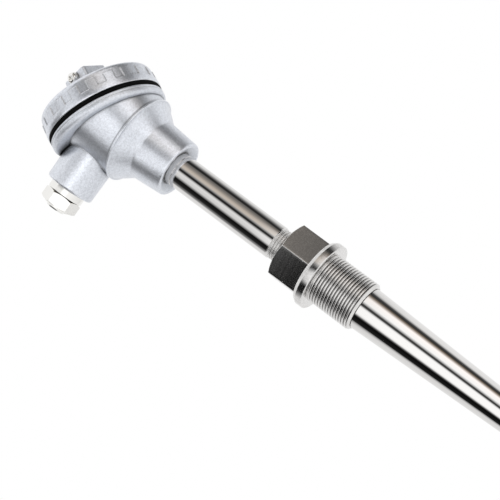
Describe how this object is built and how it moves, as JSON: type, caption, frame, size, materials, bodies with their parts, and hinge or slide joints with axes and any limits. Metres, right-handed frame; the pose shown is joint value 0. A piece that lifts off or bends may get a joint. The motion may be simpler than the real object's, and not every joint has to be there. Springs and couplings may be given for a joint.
{
  "type": "temperature sensor",
  "caption": "Process temperature sensor with a tilted screw-cover connection head, cable gland, extension pipe, hexagon thread fitting and conical protection tube.",
  "frame": {"origin": "on the probe's axis, in the plane of the sealing face under the collar", "axes": "+Z along the probe towards the head, -X out through the cable gland, the cover tilts towards +X"},
  "size_m": [0.1077, 0.0794, 0.4143],
  "materials": {
    "cast_alloy": "die cast, shot blasted and silver lacquered, satin",
    "black_rubber": "moulded, dull black",
    "nickel_plate": "nickel plated, bright",
    "polished_steel": "stainless, turned and polished",
    "ceramic": "unglazed, off white",
    "brass": "machined, satin",
    "zinc_plate": "zinc plated, satin",
    "sheath_alloy": "drawn, dull",
    "lead_wire": "drawn bare wire"
  },
  "bodies": {
    "root": {"head_body": "cast_alloy", "gland_body": "nickel_plate", "gland_seal": "black_rubber", "extension_pipe": "polished_steel", "process_fitting": "polished_steel", "protection_tube": "polished_steel", "terminal_block": "ceramic", "terminal_positive": "brass", "terminal_negative": "brass", "terminal_screws": "nickel_plate", "block_screws": "zinc_plate", "block_spring_washers": "zinc_plate", "insert_plate": "zinc_plate", "insert_bush": "zinc_plate", "insert_sheath": "sheath_alloy", "lead_positive": "lead_wire", "lead_negative": "lead_wire", "earth_screw": "nickel_plate", "earth_washer": "nickel_plate"},
    "cover_carrier": {"cover_gasket": "black_rubber"},
    "cover": {"head_cover": "cast_alloy", "cover_screw": "nickel_plate", "cover_screw_washer": "nickel_plate"},
    "gland_carrier": {"gland_ring": "nickel_plate"},
    "gland_cap": {"gland_nut": "nickel_plate"}
  },
  "joints": [
    {"name": "cover_lift", "type": "slide", "parent": "root", "child": "cover_carrier", "axis": [0.4115, 0, 0.9114], "range_m": [0, 0.006]},
    {"name": "cover_turn", "type": "hinge", "parent": "cover_carrier", "child": "cover", "pos_m": [-0.001, 0, 0.1779], "axis": [0.4115, 0, 0.9114], "range_deg": [0, 1080]},
    {"name": "nut_travel", "type": "slide", "parent": "root", "child": "gland_carrier", "axis": [-1, 0, 0], "range_m": [0, 0.006]},
    {"name": "nut_turn", "type": "hinge", "parent": "gland_carrier", "child": "gland_cap", "pos_m": [-0.06, 0, 0.1714], "axis": [-1, 0, 0], "range_deg": [0, 1440]}
  ],
  "couplings": [
    {"joint": "cover_lift", "follows": "cover_turn", "m_per_rad": 0.00031831},
    {"joint": "nut_travel", "follows": "nut_turn", "m_per_rad": 0.00023873}
  ]
}
